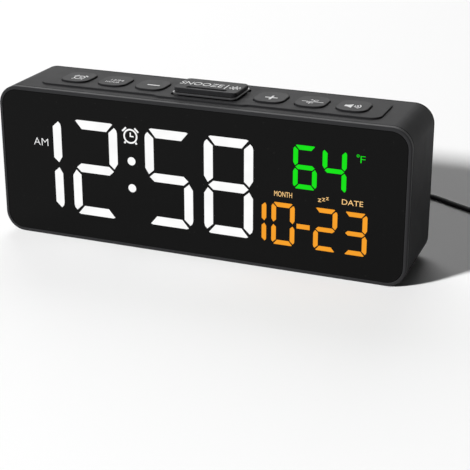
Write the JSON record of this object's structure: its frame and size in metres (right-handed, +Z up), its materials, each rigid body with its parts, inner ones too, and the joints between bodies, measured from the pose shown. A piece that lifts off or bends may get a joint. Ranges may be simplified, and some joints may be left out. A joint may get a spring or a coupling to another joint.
{
  "type": "digital alarm clock",
  "caption": "wide rounded desk clock with a dark display window over its whole front, a row of top keys round a long snooze bar, a rear battery cap and a plug-in power cord",
  "frame": {"origin": "middle of the case's footprint, on the surface that the feet stand on", "axes": "+X to the right-hand end seen from the front, +Y to the back, +Z up; the display faces -Y"},
  "size_m": [0.2598, 0.1108, 0.0718],
  "materials": {
    "case_plastic": "fine satin moulded black",
    "window_acrylic": "polished, nearly opaque smoked",
    "dark_film": "printed black",
    "diffuser_white": "milky matt",
    "white_plastic": "matt white",
    "dark_plastic": "matt black",
    "circuit_board": "green lacquer",
    "plated_steel": "nickel plated",
    "foot_rubber": "matt black",
    "cord_plastic": "satin black"
  },
  "bodies": {
    "clock": {"front_frame": "case_plastic", "housing_shell": "case_plastic", "button_panel": "case_plastic", "rear_cover": "case_plastic", "display_window": "window_acrylic", "legend_film": "dark_film", "diffuser_sheet": "diffuser_white", "light_reflector": "white_plastic", "display_ribbon": "white_plastic", "key_ribbon": "white_plastic", "far_plug_insert": "white_plastic", "degree_module": "dark_plastic", "date_module": "dark_plastic", "cell_holder": "dark_plastic", "buzzer": "dark_plastic", "temperature_sensor": "dark_plastic", "switch_alarm": "dark_plastic", "switch_format": "dark_plastic", "switch_minus": "dark_plastic", "switch_plus": "dark_plastic", "switch_unit": "dark_plastic", "switch_volume": "dark_plastic", "switch_snooze": "dark_plastic", "led_board": "circuit_board", "key_board": "circuit_board", "main_board": "circuit_board", "coin_cell": "plated_steel", "power_socket": "plated_steel", "near_plug_nose": "plated_steel", "far_plug_shell": "plated_steel", "cover_screw_1": "plated_steel", "cover_screw_2": "plated_steel", "cover_screw_3": "plated_steel", "cover_screw_4": "plated_steel", "foot_1": "foot_rubber", "foot_2": "foot_rubber", "foot_3": "foot_rubber", "foot_4": "foot_rubber", "near_plug_grip": "cord_plastic", "far_plug_grip": "cord_plastic", "cord_coil": "cord_plastic", "cord_lead": "cord_plastic", "cord_tail": "cord_plastic", "cord_tie": "cord_plastic"},
    "alarm_button": {"key_alarm": "case_plastic", "plunger_alarm": "white_plastic"},
    "format_button": {"key_format": "case_plastic", "plunger_format": "white_plastic"},
    "minus_button": {"key_minus": "case_plastic", "plunger_minus": "white_plastic"},
    "plus_button": {"key_plus": "case_plastic", "plunger_plus": "white_plastic"},
    "unit_button": {"key_unit": "case_plastic", "plunger_unit": "white_plastic"},
    "volume_button": {"key_volume": "case_plastic", "plunger_volume": "white_plastic"},
    "snooze_button": {"snooze_bar": "case_plastic", "plunger_snooze": "white_plastic"},
    "battery_lid": {"battery_cap": "case_plastic"}
  },
  "joints": [
    {"name": "alarm_press", "type": "slide", "parent": "clock", "child": "alarm_button", "axis": [0, 0, -1], "range_m": [0, 0.0006], "stiffness_N_per_m": 2500, "springref_m": -0.0002},
    {"name": "format_press", "type": "slide", "parent": "clock", "child": "format_button", "axis": [0, 0, -1], "range_m": [0, 0.0006], "stiffness_N_per_m": 2500, "springref_m": -0.0002},
    {"name": "minus_press", "type": "slide", "parent": "clock", "child": "minus_button", "axis": [0, 0, -1], "range_m": [0, 0.0006], "stiffness_N_per_m": 2500, "springref_m": -0.0002},
    {"name": "plus_press", "type": "slide", "parent": "clock", "child": "plus_button", "axis": [0, 0, -1], "range_m": [0, 0.0006], "stiffness_N_per_m": 2500, "springref_m": -0.0002},
    {"name": "unit_press", "type": "slide", "parent": "clock", "child": "unit_button", "axis": [0, 0, -1], "range_m": [0, 0.0006], "stiffness_N_per_m": 2500, "springref_m": -0.0002},
    {"name": "volume_press", "type": "slide", "parent": "clock", "child": "volume_button", "axis": [0, 0, -1], "range_m": [0, 0.0006], "stiffness_N_per_m": 2500, "springref_m": -0.0002},
    {"name": "snooze_press", "type": "slide", "parent": "clock", "child": "snooze_button", "axis": [0, 0, -1], "range_m": [0, 0.0006], "stiffness_N_per_m": 3000, "springref_m": -0.0003},
    {"name": "battery_lid_turn", "type": "hinge", "parent": "clock", "child": "battery_lid", "pos_m": [-0.048, 0.0185, 0.033], "axis": [0, -1, 0], "range_deg": [0, 45]}
  ]
}
